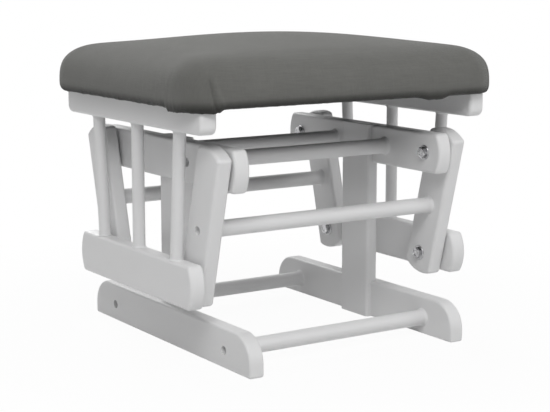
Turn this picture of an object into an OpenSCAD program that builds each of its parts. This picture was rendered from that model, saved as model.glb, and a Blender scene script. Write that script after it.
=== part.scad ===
// Glider ottoman: an upholstered footrest on a white wooden frame.
// Four links hang from a fixed base and carry the seat frame, which glides front to back.
// Millimetres. +X right, +Y back, +Z up, origin on the floor under the middle.

/* [Base] */
// Length of a runner on the floor
runner_len = 399; // [370:1:440]
// Height of a runner
runner_h = 49; // [44:1:60]
// Radius of a runner's upper corners
runner_corner_r = 34; // [10:1:40]
// Thickness of the runners and hanger bars
side_t = 20; // [18:0.5:24]
// Width of a post
post_w = 60; // [45:1:75]
// Thickness of a post
post_t = 17.5; // [14:0.5:22]
// How far a post stands proud of the runner's inner face
post_proud = 7; // [3:0.5:9]
// Rounding of a post's upright edges
post_edge_r = 4; // [1:0.5:6]
// Length of a hanger bar
hanger_len = 341; // [340:1:380]
// Height of a hanger bar
hanger_h = 51.6; // [46:0.2:60]
// Height of the hanger bars' centreline, where the links hang
hanger_axis_z = 237.3; // [225:0.1:246]

/* [Cross dowels] */
// Diameter of the cross dowels
dowel_d = 20; // [16:0.5:24]
// Depth of the socket that a dowel's end sits in
dowel_seat = 6; // [3:0.5:7]
// Distance of the base dowels from the runners' ends
base_dowel_inset = 58.5; // [40:0.5:90]
// Height of the base dowels
base_dowel_z = 22; // [16:0.5:28]
// Distance of the hanger dowels from the middle
hanger_dowel_y = 57; // [48:1:80]
// Height of the dowel between the front links
front_link_dowel_z = 165.2; // [140:0.1:180]
// Height of the dowel between the rear links
rear_link_dowel_z = 171.1; // [140:0.1:180]

/* [Links] */
// Thickness of a link
link_t = 20; // [18:0.5:24]
// Width of a link
link_w = 51; // [44:1:60]
// Reach of a link above its top pivot
link_top_reach = 29; // [25:1:34]
// Reach of a link below its bottom pivot
link_bottom_reach = 27; // [24:1:32]
// Gap between hanger bar and link, and between link and rail
layer_gap = 3; // [3:0.2:7]
// Distance of the top pivots from the middle
top_pivot_y = 140; // [135:0.5:148]
// Distance of the bottom pivots from the middle
bottom_pivot_y = 104.5; // [95:0.5:115]
// Height of the bottom pivots
bottom_pivot_z = 99; // [92:0.5:105]

/* [Glide frame] */
// Length of a bottom rail
bottom_rail_len = 293; // [280:1:330]
// Height of a bottom rail
bottom_rail_h = 53; // [44:1:60]
// Thickness of a bottom rail
bottom_rail_t = 20.8; // [18:0.2:24]
// Height of a bottom rail's underside above the floor
bottom_rail_z = 74.8; // [68:0.2:80]
// Length of a top rail
top_rail_len = 348; // [330:1:370]
// Height of a top rail
top_rail_h = 29; // [26:1:40]
// Thickness of a top rail
top_rail_t = 22.4; // [20:0.2:26]
// Height of a top rail's underside above the floor
top_rail_z = 282.6; // [278:0.2:300]
// Radius of a top rail's lower corners
top_rail_corner_r = 10; // [4:1:16]
// Diameter of a spindle
spindle_d = 15.5; // [12:0.5:18]
// Distance of the outer spindles' feet from the middle one
spindle_foot_y = 94; // [80:0.5:110]
// Distance of the outer spindles' heads from the middle one
spindle_head_y = 105.5; // [80:0.5:125]
// Depth of a spindle's socket in each rail
spindle_seat = 14; // [8:1:18]

/* [Ends and edges of the boards] */
// Radius of the bowed ends of the bars, links and bottom rails
bow_r = 47; // [42:1:70]
// How much is taken off the corners of a bowed end
bow_corner_trim = 0.6; // [0.3:0.1:1]
// Rounding of the boards' long edges
board_edge_r = 4; // [1:0.5:5]

/* [Seat] */
// Width of the cushion
seat_w = 457; // [440:1:500]
// Depth of the cushion, front to back
seat_d = 373; // [360:1:410]
// Height of the cushion's side, from the rails to its shoulder
seat_side_h = 64; // [55:1:90]
// Rise of the crown above the shoulder
seat_crown = 9.5; // [4:0.5:20]
// Radius of the cushion's corners in plan
seat_corner_r = 44; // [38:1:70]
// Radius of the shoulder between side and top
seat_shoulder_r = 33; // [24:1:36]
// How far the sides pull in between the corners
seat_draw = 3; // [0:0.5:6]
// How far the cushion stands out beyond the top rails, on the left and on the right
seat_overhang = 20; // [16:0.1:30]
// Thickness of the cover
cover_t = 2; // [1.5:0.5:3]
// Width of the hem that is stapled under the seat board
hem_w = 10; // [8:0.1:18]
// Foam between the seat board's edge and the cover
edge_foam_t = 5; // [3:0.5:10]
// Thickness of the seat board
board_t = 12; // [9:0.5:15]
// Radius of the seat board's corners
board_corner_r = 36; // [20:1:45]

/* [Hardware] */
// Diameter of a pivot bolt
bolt_d = 8; // [6:0.5:8]
// Width of a bolt's head across its flats
bolt_head_af = 13; // [10:0.5:14]
// Height of a bolt's head
bolt_head_h = 5.3; // [4:0.1:7]
// Outer diameter of a bearing bush
bush_d = 16; // [15:0.5:17]
// Diameter of a bush's flange
bush_flange_d = 19; // [18:0.5:24]
// Thickness of a bush's flange
bush_flange_t = 1.6; // [1:0.1:2.4]
// Outer diameter of a spacer washer
spacer_d = 17; // [15:0.5:22]
// Outer diameter of a threaded insert
insert_d = 12; // [10:0.5:13]
// Length of a threaded insert
insert_len = 14; // [10:0.5:15]
// Diameter of a wood screw's shank
screw_d = 4.5; // [3.5:0.5:5]
// Diameter of a wood screw's head
screw_head_d = 8.6; // [7:0.2:9.6]
// Height of a wood screw's head
screw_head_h = 2.8; // [2:0.2:4]
// Length of a screw's shank inside the dowel
screw_bite = 30; // [15:1:40]
// Diameter of the counterbore over a screw
counterbore_d = 11; // [10:0.5:13]
// Depth of the counterbore over a dowel screw
counterbore_depth = 8; // [4:0.5:9]
// Distance of the seat screws from the middle
seat_screw_y = 55; // [30:1:80]
// Depth of the counterbore over a seat screw
seat_screw_depth = 14; // [6:1:20]

/* [Fits] */
// Radial running clearance of a bolt in its bush
running_clearance = 0.05; // [0.02:0.01:0.1]
// Radial clearance of a bolt in the rear bottom bushes, which take up the linkage's slip
slip_clearance = 2.6; // [2.5:0.1:3]
// Side clearance between parts that turn against each other
side_clearance = 0.3; // [0.2:0.05:0.6]
// Clearance of glued, pressed and threaded pieces
glue_clearance = 0.05; // [0.02:0.01:0.15]

/* [Hidden] */
$fn = 64;

paint = [0.93, 0.93, 0.94];
steel = [0.72, 0.73, 0.75];
zinc = [0.62, 0.62, 0.6];
bronze = [0.66, 0.56, 0.36];
plywood = [0.78, 0.66, 0.47];
cambric = [0.13, 0.13, 0.14];
foam = [0.9, 0.87, 0.74];
cloth = [0.4, 0.4, 0.39];

// How far a cut runs past the face that it opens
overrun = 1;

// The layers from the cushion's side inwards, as distances from the plane X = 0
top_rail_out_x = seat_w / 2 - seat_overhang;
rail_in_x = top_rail_out_x - top_rail_t;
link_out_x = rail_in_x - layer_gap;
link_in_x = link_out_x - link_t;
side_out_x = link_in_x - layer_gap;
side_in_x = side_out_x - side_t;
post_in_x = side_in_x - post_proud;
spindle_x = rail_in_x + bottom_rail_t / 2;
seat_screw_x = rail_in_x + top_rail_t / 2;

hanger_top_z = hanger_axis_z + hanger_h / 2;
bottom_rail_top_z = bottom_rail_z + bottom_rail_h;
rail_top_z = top_rail_z + top_rail_h;
board_z = rail_top_z + cover_t;
board_top_z = board_z + board_t;
shoulder_z = rail_top_z + seat_side_h;

base_dowel_y = runner_len / 2 - base_dowel_inset;
board_inset = seat_draw + cover_t + edge_foam_t;
board_w = seat_w - 2 * board_inset;
board_d = seat_d - 2 * board_inset;

link_run = top_pivot_y - bottom_pivot_y;
link_rise = hanger_axis_z - bottom_pivot_z;
link_lean = atan2(link_run, link_rise);
pivot_span = norm([link_run, link_rise]);
link_len = link_bottom_reach + pivot_span + link_top_reach;

// Where a link's centreline passes at a height
function link_y(z) = bottom_pivot_y + link_run * (z - bottom_pivot_z) / link_rise;

// Outlines, drawn as along X and up Y

// A bar with bowed ends, their corners taken off by a rounder arc
module bowed_outline(len, h) {
    bow_x = len / 2 - bow_r;
    corner_x = sqrt(pow(bow_r, 2) - pow(h / 2, 2));
    between = (90 + asin(h / 2 / bow_r)) / 2;
    trim_x = corner_x - h / 2 / tan(between);
    trim_r = h / 2 / sin(between) - bow_corner_trim;
    square([2 * (bow_x + trim_x), h], center = true);
    for (end = [-1, 1])
        translate([end * bow_x, 0]) intersection() {
            circle(r = bow_r, $fn = 128);
            translate([end * trim_x, 0]) circle(r = trim_r, $fn = 128);
            square([len, h], center = true);
        }
}

module two_corner_outline(len, h, r) {
    translate([-len / 2, 0]) square([len, h - r]);
    translate([r - len / 2, 0]) square([len - 2 * r, h]);
    for (end = [-1, 1])
        intersection() {
            translate([end * (len / 2 - r), h - r]) circle(r = r, $fn = 128);
            translate([-len / 2, 0]) square([len, h]);
        }
}

module eased_rectangle(w, d, r) {
    square([w, d - 2 * r], center = true);
    square([w - 2 * r, d], center = true);
    for (x = [-1, 1], y = [-1, 1])
        translate([x * (w / 2 - r), y * (d / 2 - r)]) circle(r = r);
}

// Placing

// Stands an outline up along Y and gives it a thickness from X = 0 outwards
module board(t) {
    rotate([90, 0, 90]) linear_extrude(height = t) children();
}

// Rounds a board's long edges: the first child is the board, the second its cross-section
module eased(len) {
    intersection() {
        children(0);
        rotate([90, 0, 0]) linear_extrude(height = len + 2 * overrun, center = true) children(1);
    }
}

module on_side(side) {
    if (side < 0) mirror([1, 0, 0]) children();
    else children();
}

module at_end(end) {
    if (end < 0) children();
    else mirror([0, 1, 0]) children();
}

module bowed_board(len, h, t) {
    eased(len) {
        board(t) bowed_outline(len, h);
        translate([t / 2, 0]) eased_rectangle(t, h, board_edge_r);
    }
}

// A round rod along +X from x1 to x2
module rod(d, x1, x2) {
    translate([x1, 0, 0]) rotate([0, 90, 0]) cylinder(d = d, h = x2 - x1);
}

module dowel_screw_cut(face_x) {
    rod(counterbore_d, face_x - counterbore_depth, face_x + overrun);
    rod(screw_d + 2 * glue_clearance, 0, face_x);
}

// Base

module dowel_places() {
    for (end = [-1, 1]) {
        translate([0, end * base_dowel_y, base_dowel_z]) children();
    }
}

module hanger_dowel_places() {
    for (end = [-1, 1]) {
        translate([0, end * hanger_dowel_y, hanger_axis_z]) children();
    }
}

module dowel_seat_cut(face_x) {
    rod(dowel_d + 2 * glue_clearance, face_x - overrun, face_x + dowel_seat);
}

module post_housing() {
    translate([post_in_x, -post_w / 2 - glue_clearance, -overrun])
        cube([post_t + glue_clearance, post_w + 2 * glue_clearance, hanger_top_z + 2 * overrun]);
}

module runner(side) {
    color(paint) on_side(side) difference() {
        translate([side_in_x, 0, 0]) eased(runner_len) {
            board(side_t) two_corner_outline(runner_len, runner_h, runner_corner_r);
            translate([side_t / 2, 0]) two_corner_outline(side_t, runner_h, board_edge_r);
        }
        post_housing();
        dowel_places() {
            dowel_seat_cut(side_in_x);
            dowel_screw_cut(side_out_x);
        }
    }
}

module post(side) {
    color(paint) on_side(side)
        translate([post_in_x + post_t / 2, 0, 0]) linear_extrude(height = hanger_top_z)
            eased_rectangle(post_t, post_w, post_edge_r);
}

module hanger_bar(side) {
    color(paint) on_side(side) difference() {
        translate([side_in_x, 0, hanger_axis_z]) bowed_board(hanger_len, hanger_h, side_t);
        post_housing();
        hanger_dowel_places() {
            dowel_seat_cut(side_in_x);
            dowel_screw_cut(side_out_x);
        }
        for (end = [-1, 1])
            translate([0, end * top_pivot_y, hanger_axis_z])
                rod(bush_d + 2 * glue_clearance, side_in_x - overrun, side_out_x + overrun);
    }
}

// A cross dowel with its ends in the sockets of two boards
module cross_dowel(face_x) {
    end_x = face_x + dowel_seat - glue_clearance;
    color(paint) difference() {
        rod(dowel_d, -end_x, end_x);
        for (side = [-1, 1])
            on_side(side) rod(screw_d + 2 * glue_clearance, end_x - screw_bite, end_x + overrun);
    }
}

// A wood screw whose head sits in the counterbore of an outer face
module dowel_screw(face_x, in_x) {
    seat_x = face_x - counterbore_depth;
    color(zinc) {
        rod(screw_head_d, seat_x, seat_x + screw_head_h);
        rod(screw_d, in_x + dowel_seat - screw_bite, seat_x);
    }
}

module base_dowel(end) {
    translate([0, end * base_dowel_y, base_dowel_z]) cross_dowel(side_in_x);
}

module hanger_dowel(end) {
    translate([0, end * hanger_dowel_y, hanger_axis_z]) cross_dowel(side_in_x);
}

module base_dowel_screws() {
    dowel_places() for (side = [-1, 1]) on_side(side) dowel_screw(side_out_x, side_in_x);
}

module hanger_dowel_screws() {
    hanger_dowel_places() for (side = [-1, 1]) on_side(side) dowel_screw(side_out_x, side_in_x);
}

// Pivots: a flanged bush in the inner board, and a bolt that screws into the outer board

// A flanged bush pressed through a board from its inner face
module bush(face_x, t, clearance) {
    color(bronze) difference() {
        union() {
            rod(bush_d, face_x, face_x + t);
            rod(bush_flange_d, face_x - bush_flange_t, face_x);
        }
        rod(bolt_d + 2 * clearance, face_x - bush_flange_t - overrun, face_x + t + overrun);
    }
}

// The bolt's head clears the bush's flange, and its shank ends in the insert
module pivot_bolt(face_x, t) {
    head_x = face_x - bush_flange_t - side_clearance;
    color(steel) {
        translate([head_x - bolt_head_h, 0, 0]) rotate([0, 90, 0])
            cylinder(d = bolt_head_af / cos(30), h = bolt_head_h, $fn = 6);
        rod(bolt_d, head_x, face_x + t + layer_gap + insert_len);
    }
}

// The washer that keeps two layers apart is clamped to the outer one
module spacer(face_x) {
    color(zinc) difference() {
        rod(spacer_d, face_x + side_clearance, face_x + layer_gap);
        rod(bolt_d + 2 * glue_clearance, face_x - overrun, face_x + layer_gap + overrun);
    }
}

module insert(face_x) {
    color(bronze) difference() {
        rod(insert_d, face_x, face_x + insert_len);
        rod(bolt_d + 2 * glue_clearance, face_x - overrun, face_x + insert_len + overrun);
    }
}

module insert_cut(face_x) {
    rod(insert_d + 2 * glue_clearance, face_x - overrun, face_x + insert_len + glue_clearance);
}

module hanger_bushes() {
    for (end = [-1, 1], side = [-1, 1])
        translate([0, end * top_pivot_y, hanger_axis_z]) on_side(side)
            bush(side_in_x, side_t, running_clearance);
}

module hanger_bolts(end) {
    for (side = [-1, 1])
        translate([0, end * top_pivot_y, hanger_axis_z]) on_side(side)
            pivot_bolt(side_in_x, side_t);
}

module hanger_spacers(end) {
    for (side = [-1, 1])
        translate([0, end * top_pivot_y, hanger_axis_z]) on_side(side) spacer(side_out_x);
}

module hanger_inserts(end) {
    for (side = [-1, 1])
        translate([0, end * top_pivot_y, hanger_axis_z]) on_side(side) insert(link_in_x);
}

// Links

// The height of the dowel between the links of one end
function link_dowel_z(end) = end < 0 ? front_link_dowel_z : rear_link_dowel_z;

module link_dowel_place(end) {
    z = link_dowel_z(end);
    translate([0, end * link_y(z), z]) children();
}

module link(end, side) {
    mid = (pivot_span + link_top_reach - link_bottom_reach) / 2;
    color(paint) on_side(side) difference() {
        at_end(end) translate([link_in_x, -bottom_pivot_y, bottom_pivot_z]) rotate([link_lean, 0, 0])
            translate([0, 0, mid]) rotate([90, 0, 0]) bowed_board(link_len, link_w, link_t);
        translate([0, end * bottom_pivot_y, bottom_pivot_z])
            rod(bush_d + 2 * glue_clearance, link_in_x - overrun, link_out_x + overrun);
        translate([0, end * top_pivot_y, hanger_axis_z]) insert_cut(link_in_x);
        link_dowel_place(end) {
            dowel_seat_cut(link_in_x);
            dowel_screw_cut(link_out_x);
        }
    }
}

module link_dowel(end) {
    link_dowel_place(end) cross_dowel(link_in_x);
}

module link_screws(end) {
    link_dowel_place(end)
        for (side = [-1, 1]) on_side(side) dowel_screw(link_out_x, link_in_x);
}

// The rear bushes are bored wide, because the linkage slips a little there as it swings
module link_bushes(end) {
    clearance = end < 0 ? running_clearance : slip_clearance;
    for (side = [-1, 1])
        translate([0, end * bottom_pivot_y, bottom_pivot_z]) on_side(side)
            bush(link_in_x, link_t, clearance);
}

// Glide frame

// Puts a rod along Z onto a spindle's line, with zero on the bottom rail's upper face
module spindle_line(place) {
    rise = top_rail_z - bottom_rail_top_z;
    run = place * (spindle_head_y - spindle_foot_y);
    translate([spindle_x, place * spindle_foot_y, bottom_rail_top_z])
        rotate([-atan2(run, rise), 0, 0]) children();
}

function spindle_clear_len(place) =
    norm([place * (spindle_head_y - spindle_foot_y), top_rail_z - bottom_rail_top_z]);

module spindle_cuts() {
    for (place = [-1, 0, 1])
        spindle_line(place)
            translate([0, 0, -spindle_seat - glue_clearance])
                cylinder(d = spindle_d + 2 * glue_clearance,
                         h = spindle_clear_len(place) + 2 * (spindle_seat + glue_clearance));
}

module spindle(side, place) {
    color(paint) on_side(side) spindle_line(place)
        translate([0, 0, -spindle_seat])
            cylinder(d = spindle_d, h = spindle_clear_len(place) + 2 * spindle_seat);
}

module bottom_rail(side) {
    color(paint) on_side(side) difference() {
        translate([rail_in_x, 0, bottom_rail_z + bottom_rail_h / 2])
            bowed_board(bottom_rail_len, bottom_rail_h, bottom_rail_t);
        spindle_cuts();
        for (end = [-1, 1])
            translate([0, end * bottom_pivot_y, bottom_pivot_z]) insert_cut(rail_in_x);
    }
}

module seat_screw_places() {
    for (side = [-1, 1], end = [-1, 1])
        translate([side * seat_screw_x, end * seat_screw_y, 0]) children();
}

module top_rail(side) {
    color(paint) difference() {
        on_side(side) difference() {
            translate([rail_in_x, 0, rail_top_z]) eased(top_rail_len) {
                board(top_rail_t) mirror([0, 1])
                    two_corner_outline(top_rail_len, top_rail_h, top_rail_corner_r);
                translate([top_rail_t / 2, 0]) mirror([0, 1])
                    two_corner_outline(top_rail_t, top_rail_h, board_edge_r);
            }
            spindle_cuts();
        }
        seat_screw_places() {
            translate([0, 0, top_rail_z - overrun])
                cylinder(d = counterbore_d, h = seat_screw_depth + overrun);
            translate([0, 0, top_rail_z])
                cylinder(d = screw_d + 2 * glue_clearance, h = top_rail_h + overrun);
        }
    }
}

module rail_bolts(end) {
    for (side = [-1, 1])
        translate([0, end * bottom_pivot_y, bottom_pivot_z]) on_side(side)
            pivot_bolt(link_in_x, link_t);
}

module rail_spacers() {
    for (end = [-1, 1], side = [-1, 1])
        translate([0, end * bottom_pivot_y, bottom_pivot_z]) on_side(side) spacer(link_out_x);
}

module rail_inserts() {
    for (end = [-1, 1], side = [-1, 1])
        translate([0, end * bottom_pivot_y, bottom_pivot_z]) on_side(side) insert(rail_in_x);
}

// Seat

screw_tip = board_t - cover_t;

module seat_board() {
    color(plywood) difference() {
        translate([0, 0, board_z]) linear_extrude(height = board_t)
            eased_rectangle(board_w, board_d, board_corner_r);
        seat_screw_places()
            translate([0, 0, board_z - overrun])
                cylinder(d = screw_d + 2 * glue_clearance, h = screw_tip + overrun + glue_clearance);
    }
}

module seat_screws() {
    head_z = top_rail_z + seat_screw_depth;
    color(zinc) seat_screw_places() {
        translate([0, 0, head_z - screw_head_h]) cylinder(d = screw_head_d, h = screw_head_h);
        translate([0, 0, head_z]) cylinder(d = screw_d, h = board_z + screw_tip - head_z);
    }
}

hem_in_w = board_w - 2 * hem_w;
hem_in_d = board_d - 2 * hem_w;
hem_in_r = board_corner_r - hem_w;

module dust_cover() {
    color(cambric) difference() {
        translate([0, 0, rail_top_z]) linear_extrude(height = cover_t)
            eased_rectangle(hem_in_w - 2 * side_clearance, hem_in_d - 2 * side_clearance,
                            hem_in_r - side_clearance);
        seat_screw_places()
            translate([0, 0, rail_top_z - overrun])
                cylinder(d = screw_d + 2 * glue_clearance, h = cover_t + 2 * overrun);
    }
}

// One ring of the cushion, from the middle of its right side round to the left.
// The sides pull in by draw between the corners.
arc_steps = 5;
function ring(w, d, r, draw, z) = [
    for (turn = [0 : 3])
        let (a = (turn % 2 == 0 ? w : d) / 2, b = (turn % 2 == 0 ? d : w) / 2,
             c = cos(90 * turn), s = sin(90 * turn))
        for (p = concat(
            [[a - draw, 0], [a - draw * 0.75, (b - r) * 0.5]],
            [for (i = [0 : arc_steps])
                [a - r + r * cos(90 * i / arc_steps), b - r + r * sin(90 * i / arc_steps)]],
            [[(a - r) * 0.5, b - draw * 0.75]]))
            [c * p.x - s * p.y, s * p.x + c * p.y, z]
];

// Side of the cushion: inset as a share of the shoulder radius, height as a share of the side
side_shares = [[0.24, 0], [0.05, 0.06], [0, 0.15], [0, 0.38], [0.06, 0.53],
               [0.19, 0.69], [0.38, 0.83], [0.65, 0.94], [1, 1]];
// Crown rings, as shares of the shoulder's ring
crown_shares = [0.85, 0.65, 0.42, 0.18];

// Top of the crown, a depth under the cover's outer face
function crown_z(depth) = shoulder_z - depth + seat_crown;

// A ring that the board just fits into: its corners' chords stay outside the board's arcs
function board_ring(z) =
    let (r = (board_corner_r + glue_clearance) / cos(45 / arc_steps), grow = r - board_corner_r)
    ring(board_w + 2 * grow, board_d + 2 * grow, r, 0, z);

// Rings of the cushion's skin, a depth under the cover's outer face
function side_rings(depth) = [
    for (share = side_shares)
        let (inset = share[0] * seat_shoulder_r + depth, z = rail_top_z + share[1] * (seat_side_h - depth))
        ring(seat_w - 2 * inset, seat_d - 2 * inset, seat_corner_r - inset / 2, seat_draw, z)
];
// Inside the cover the lowest ring gives way to the board's.
function inner_rings(depth) = let (rings = side_rings(depth)) [for (k = [1 : len(rings) - 1]) rings[k]];
// Towards the middle the crown's rings grow rounder, so that no ridge runs to the corners.
function crown_rings(depth) = [
    for (keep = crown_shares)
        let (inset = seat_shoulder_r + depth, w = seat_w - 2 * inset, d = seat_d - 2 * inset,
             r = seat_corner_r - inset / 2)
        ring(keep * w, keep * d, keep * (r + (min(w, d) / 2 - r) * (1 - keep)), keep * seat_draw,
             crown_z(depth) - seat_crown * keep * keep)
];

// Faces between neighbouring rings of n points, first ring at index first
function band_faces(first, n, rings) = [
    for (k = [0 : rings - 2], i = [0 : n - 1])
        let (a = first + k * n + i, b = first + k * n + (i + 1) % n, c = a + n, e = b + n)
        each [[a, c, b], [b, c, e]]
];
function flipped(faces) = [for (f = faces) [f[2], f[1], f[0]]];
function cap_faces(first, n, middle) = [for (i = [0 : n - 1])
    [first + i, middle, first + (i + 1) % n]];

module seat_cover() {
    outer = concat([ring(hem_in_w, hem_in_d, hem_in_r, 0, rail_top_z)], side_rings(0), crown_rings(0));
    inner = concat([ring(hem_in_w, hem_in_d, hem_in_r, 0, board_z), board_ring(board_z)],
                   inner_rings(cover_t), crown_rings(cover_t));
    n = len(outer[0]);
    count = len(outer);
    start = count * n;
    top = 2 * start;
    rim = [for (i = [0 : n - 1])
        let (j = (i + 1) % n) each [[i, j, start + i], [j, start + j, start + i]]];
    color(cloth) polyhedron(
        points = concat(
            [for (r = concat(outer, inner)) each r],
            [[0, 0, crown_z(0)], [0, 0, crown_z(cover_t)]]),
        faces = concat(
            band_faces(0, n, count),
            cap_faces(start - n, n, top),
            flipped(band_faces(start, n, count)),
            flipped(cap_faces(top - n, n, top + 1)),
            rim));
}

// The foam laps over the board's edge and fills the cover
module seat_foam() {
    gap = cover_t + glue_clearance;
    rings = concat([board_ring(board_top_z), board_ring(board_z + glue_clearance)],
                   inner_rings(gap), crown_rings(gap));
    n = len(rings[0]);
    count = len(rings);
    middle = count * n;
    color(foam) polyhedron(
        points = concat([for (r = rings) each r], [[0, 0, board_top_z], [0, 0, crown_z(gap)]]),
        faces = concat(
            flipped(cap_faces(0, n, middle)),
            band_faces(0, n, count),
            cap_faces(middle - n, n, middle + 1)));
}

runner(-1);  // runner_left
runner(1);  // runner_right
post(-1);  // post_left
post(1);  // post_right
hanger_bar(-1);  // hanger_bar_left
hanger_bar(1);  // hanger_bar_right
base_dowel(-1);  // base_dowel_front
base_dowel(1);  // base_dowel_rear
hanger_dowel(-1);  // hanger_dowel_front
hanger_dowel(1);  // hanger_dowel_rear
base_dowel_screws();
hanger_dowel_screws();
hanger_bushes();
link(-1, -1);  // front_link_left
link(-1, 1);  // front_link_right
link_dowel(-1);  // front_link_dowel
link_screws(-1);  // front_link_screws
link_bushes(-1);  // front_link_bushes
hanger_bolts(-1);  // front_hanger_bolts
hanger_spacers(-1);  // front_hanger_spacers
hanger_inserts(-1);  // front_hanger_inserts
link(1, -1);  // rear_link_left
link(1, 1);  // rear_link_right
link_dowel(1);  // rear_link_dowel
link_screws(1);  // rear_link_screws
link_bushes(1);  // rear_link_bushes
hanger_bolts(1);  // rear_hanger_bolts
hanger_spacers(1);  // rear_hanger_spacers
hanger_inserts(1);  // rear_hanger_inserts
bottom_rail(-1);  // bottom_rail_left
bottom_rail(1);  // bottom_rail_right
top_rail(-1);  // top_rail_left
top_rail(1);  // top_rail_right
spindle(-1, -1);  // spindle_left_front
spindle(-1, 0);  // spindle_left_middle
spindle(-1, 1);  // spindle_left_rear
spindle(1, -1);  // spindle_right_front
spindle(1, 0);  // spindle_right_middle
spindle(1, 1);  // spindle_right_rear
rail_bolts(-1);  // rail_bolts_front
rail_bolts(1);  // rail_bolts_rear
rail_spacers();
rail_inserts();
seat_board();
seat_screws();
dust_cover();
seat_foam();
seat_cover();
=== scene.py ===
import math

import bmesh
import bpy
import numpy as np
from mathutils import Matrix, Vector, noise


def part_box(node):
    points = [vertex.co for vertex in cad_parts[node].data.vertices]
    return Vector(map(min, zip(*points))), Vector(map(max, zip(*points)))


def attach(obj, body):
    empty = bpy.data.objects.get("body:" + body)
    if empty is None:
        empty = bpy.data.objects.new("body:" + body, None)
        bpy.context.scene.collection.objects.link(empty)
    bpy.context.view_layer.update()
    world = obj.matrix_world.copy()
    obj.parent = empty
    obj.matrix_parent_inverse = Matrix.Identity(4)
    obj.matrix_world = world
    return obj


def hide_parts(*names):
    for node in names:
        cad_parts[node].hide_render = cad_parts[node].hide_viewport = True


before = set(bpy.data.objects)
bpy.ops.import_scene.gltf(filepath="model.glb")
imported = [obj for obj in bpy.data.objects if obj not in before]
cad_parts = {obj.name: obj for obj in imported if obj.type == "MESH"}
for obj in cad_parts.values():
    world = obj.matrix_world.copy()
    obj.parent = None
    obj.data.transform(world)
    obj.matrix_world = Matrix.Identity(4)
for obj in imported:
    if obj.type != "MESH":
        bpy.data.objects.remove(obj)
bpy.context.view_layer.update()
bpy.ops.object.select_all(action="DESELECT")
print("frame loaded:", len(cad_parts), "CAD nodes")

# The camera stands where the photograph was taken from.
camera = {"lens": 92.94, "sensor": 36.0, "place": (-0.99967, -1.54026, 0.46783), "down": 9.48, "turn": -33.1,
          "nearest": 0.05, "furthest": 50}


def newObject(name, data):
    thing = bpy.data.objects.new(name, data)
    bpy.context.scene.collection.objects.link(thing)
    return thing


def setCamera():
    data = bpy.data.cameras.new("camera")
    data.lens, data.sensor_width = camera["lens"], camera["sensor"]
    data.clip_start, data.clip_end = camera["nearest"], camera["furthest"]
    stand = newObject("camera", data)
    stand.location = camera["place"]
    stand.rotation_euler = (math.radians(90 - camera["down"]), 0, math.radians(camera["turn"]))
    bpy.context.scene.camera = stand


# Tolerances in metres: for one place, for the ends of a spin and for the rings of a turned shape
within = {"same": 2e-6, "spun": 1e-6, "turned": 1e-7}
past = 0.001  # how far a cutter reaches past the face that it cuts


# Working in edit mode: what an operator acts on is picked by a test.
def alone(piece):
    bpy.ops.object.select_all(action="DESELECT")
    piece.select_set(True)
    bpy.context.view_layer.objects.active = piece


def edit(piece):
    alone(piece)
    bpy.ops.object.mode_set(mode="EDIT")


def leave():
    bpy.ops.object.mode_set(mode="OBJECT")


def pick(piece, kind, test):
    bpy.ops.mesh.select_mode(type={"verts": "VERT", "edges": "EDGE", "faces": "FACE"}[kind])
    bpy.ops.mesh.select_all(action="DESELECT")
    shape = bmesh.from_edit_mesh(piece.data)
    for part in getattr(shape, kind):
        if test(part):
            part.select_set(True)
    shape.select_flush_mode()
    bmesh.update_edit_mesh(piece.data)


def near(a, b):
    return abs(a - b) < within["same"]


def alongX(edge):
    a, b = edge.verts
    return near(a.co.y, b.co.y) and near(a.co.z, b.co.z)


def upright(edge):
    a, b = edge.verts
    return near(a.co.x, b.co.x) and near(a.co.y, b.co.y)


def onRim(edge):
    a, b = edge.verts
    return near(a.co.x, b.co.x)


def roundOff(piece, test, radius, steps):
    pick(piece, "edges", test)
    bpy.ops.mesh.bevel(offset_type="OFFSET", offset=radius, segments=steps, profile=0.5, affect="EDGES",
                       clamp_overlap=True)


def outwards():
    bpy.ops.mesh.select_all(action="SELECT")
    bpy.ops.mesh.normals_make_consistent(inside=False)


def applyModifier(piece, kind, **values):
    alone(piece)
    modifier = piece.modifiers.new(kind, kind)
    for key, value in values.items():
        setattr(modifier, key, value)
    bpy.ops.object.modifier_apply(modifier=modifier.name)


def join(pieces):
    alone(pieces[0])
    for other in pieces[1:]:
        other.select_set(True)
    if len(pieces) > 1:
        bpy.ops.object.join()
    return pieces[0]


# The object added last, with its place and size put into its mesh
def justAdded():
    bpy.ops.object.transform_apply(location=True, rotation=True, scale=True)
    return bpy.context.object


def another(piece):
    twin = piece.copy()
    twin.data = piece.data.copy()
    bpy.context.scene.collection.objects.link(twin)
    return twin


def move(piece, x=0, y=0, z=0):
    piece.data.transform(Matrix.Translation((x, y, z)))
    return piece


def mirrored(piece):
    twin = another(piece)
    twin.data.transform(Matrix.Scale(-1, 4, (1, 0, 0)))
    edit(twin)
    outwards()
    leave()
    return twin


def cut(piece, cutters, how="DIFFERENCE"):
    cutter = join(cutters)
    applyModifier(piece, "BOOLEAN", operation=how, solver="EXACT", object=cutter)
    bpy.data.objects.remove(cutter)


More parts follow.
